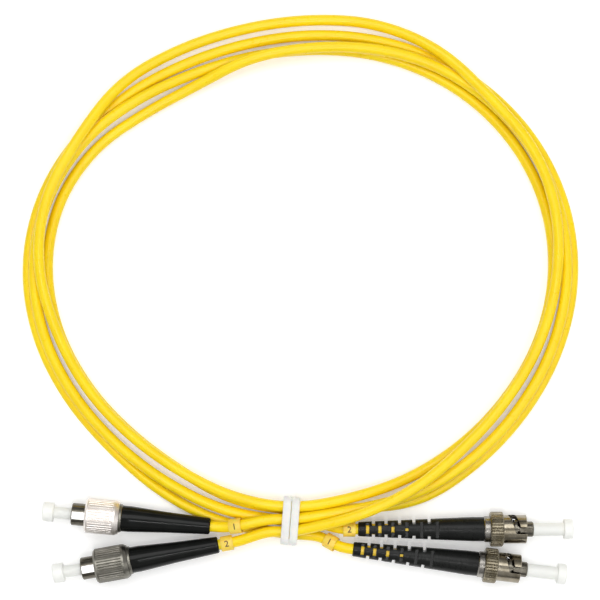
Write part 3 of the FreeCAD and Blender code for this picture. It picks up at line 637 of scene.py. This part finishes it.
def tie_piece():
    """One strip wound twice round the strands, with rounded edges and a raised core."""
    width = (TIE_BAND + TIE_BAND_GAP) / 2 - TIE_SEAM
    thick = TIE_THICKNESS / 2
    half = [(-width + inset, share * thick) for inset, share in TIE_EDGE]
    half += [(-offset, share * thick) for offset, share in TIE_CORE]
    section = half + [(-across, up) for across, up in reversed(half)]
    lean = Matrix.Rotation(math.radians(TIE_LEAN), 3, "Z")
    middle = Vector((TIE_X, RING_Y - TIE_RADIUS + HIGH_SHIFT / 2, 0))
    side = lean @ Vector((1, 0, 0))
    made = bmesh.new()
    rings = []
    for x, point, out in tie_stations():
        place = lean @ Vector((x - TIE_X, point.y, point.z)) + middle
        outward = lean @ out
        rings.append([made.verts.new((place + side * a + outward * b) * MM) for a, b in section])
    skin(made, rings)
    mesh = bpy.data.meshes.new("tie_strip")
    made.to_mesh(mesh)
    made.free()
    strip = piece("tie_strip", mesh, TIE_LOOK, "cord_set", smooth=35)
    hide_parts("tie")


# CAD nodes


def look_of(family, number, kind):
    """The material of a CAD node by what it is, except the screw plugs' nuts, which take lit and
    shaded copies of one nickel as painted highlight and painted shade.
    """
    if family == "cord":
        return JACKET_LOOK
    if kind == "boot":
        return GLOSSY_RUBBER if family == "screw" else SATIN_RUBBER
    if kind == "nut":
        return {"screw1": LIT_COPY_NICKEL, "screw2": SHADED_COPY_NICKEL}.get(family + number, KNURL_NICKEL)
    return LOOKS[kind]


def second_look(target, pose, look, chosen):
    """Another material for the faces whose middle, in millimetres on the plug, is chosen."""
    target.data.materials.append(look)
    inward = laid(pose).inverted()
    for face in target.data.polygons:
        if chosen(inward @ face.center):
            face.material_index = 1


def on_key(point):
    return abs(point.y) < KEY_SIDE and point.z > KEY_FOOT


def on_sleeve(point):
    return point.x > KNURL_END


for name, target in frame["nodes"].items():
    if name == "tie" or name.startswith("marker"):
        continue
    family, number, kind = name.split("_", 2)
    target.data.materials.clear()
    target.data.materials.append(look_of(family, number, kind))
    # The frame's key takes the painted highlight, and the rest of the frame keeps the painted
    # shade.
    if kind == "frame":
        second_look(target, SCREW_PLUGS[number], HIGHLIGHT_KEY_NICKEL, on_key)
    if family == "bayonet" and kind == "nut":
        second_look(target, BAYONET_PLUGS[number], SLEEVE_NICKEL, on_sleeve)

# Each spring that a joint names as deforming gets a mesh of its own
for joint in frame["record"]["behaviour"]["joints"]:
    for spring in joint.get("deforming_nodes", ()):
        target = frame["nodes"][spring["node"]]
        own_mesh(target)

# Pieces that stand for soft nodes
runs = {}
for cord in ("1", "2"):
    first, last = cord_piece(cord)
    runs["screw_" + cord] = (first, cord)
    runs["bayonet_" + FAR_PLUG[cord]] = (last, cord)
for name, (points, number) in runs.items():
    marker_piece(name, marker_place(name, points), number)
tie_piece()

# Table, lights, room and camera
plane = bpy.data.meshes.new("table")
corners = [(x * TABLE_HALF, y * TABLE_HALF, 0) for x, y in ((-1, -1), (1, -1), (1, 1), (-1, 1))]
plane.from_pydata(corners, [], [(0, 1, 2, 3)])
table = bpy.data.objects.new("table", plane)
table.data.materials.append(floor_material())
bpy.context.scene.collection.objects.link(table)


def softbox(name, place, aim, size, power):
    """A rectangular lamp that shines on the object and that the camera doesn't see."""
    data = bpy.data.lights.new(name, "AREA")
    data.shape = "RECTANGLE"
    data.size, data.size_y = size
    data.energy = power
    lamp = bpy.data.objects.new(name, data)
    lamp.location = place
    lamp.rotation_euler = (Vector(aim) - Vector(place)).to_track_quat("-Z", "Y").to_euler()
    lamp.visible_camera = False
    bpy.context.scene.collection.objects.link(lamp)


for name, lamp in LAMPS.items():
    softbox(name, *lamp)


def studio_world():
    """A room with a white wall round the table, a dim band over it and a pale ceiling."""
    made = bpy.data.worlds.new("studio")
    made.use_nodes = True
    background = made.node_tree.nodes["Background"]
    place = node(made, "ShaderNodeTexCoord")
    split = node(made, "ShaderNodeSeparateXYZ")
    ramp = node(made, "ShaderNodeValToRGB")
    heights = ramp.color_ramp.elements
    heights[0].position, heights[1].position = ROOM[0][0], ROOM[-1][0]
    for position, _ in ROOM[1:-1]:
        heights.new(position)
    for element, (_, level) in zip(heights, ROOM):
        element.color = (level, level, level, 1)
    link(made, place, split, "Generated", "Vector")
    link(made, split, ramp, "Z", "Fac")
    link(made, ramp, background, "Color", "Strength")
    background.inputs["Color"].default_value = (1, 1, 1, 1)
    bpy.context.scene.world = made


studio_world()

lens = bpy.data.cameras.new("camera")
lens.lens = LENS
lens.sensor_width = SENSOR
lens.clip_end = FARTHEST
camera = bpy.data.objects.new("camera", lens)
width = PHOTO / PIXELS_PER_MM
camera.location = ((PHOTO / 2 - ORIGIN_PIXEL[0]) / PIXELS_PER_MM * MM,
                   (ORIGIN_PIXEL[1] - PHOTO / 2) / PIXELS_PER_MM * MM,
                   (width * LENS / SENSOR + FLOOR) * MM)
bpy.context.scene.collection.objects.link(camera)
bpy.context.scene.camera = camera
bpy.context.scene.view_settings.view_transform = "Standard"
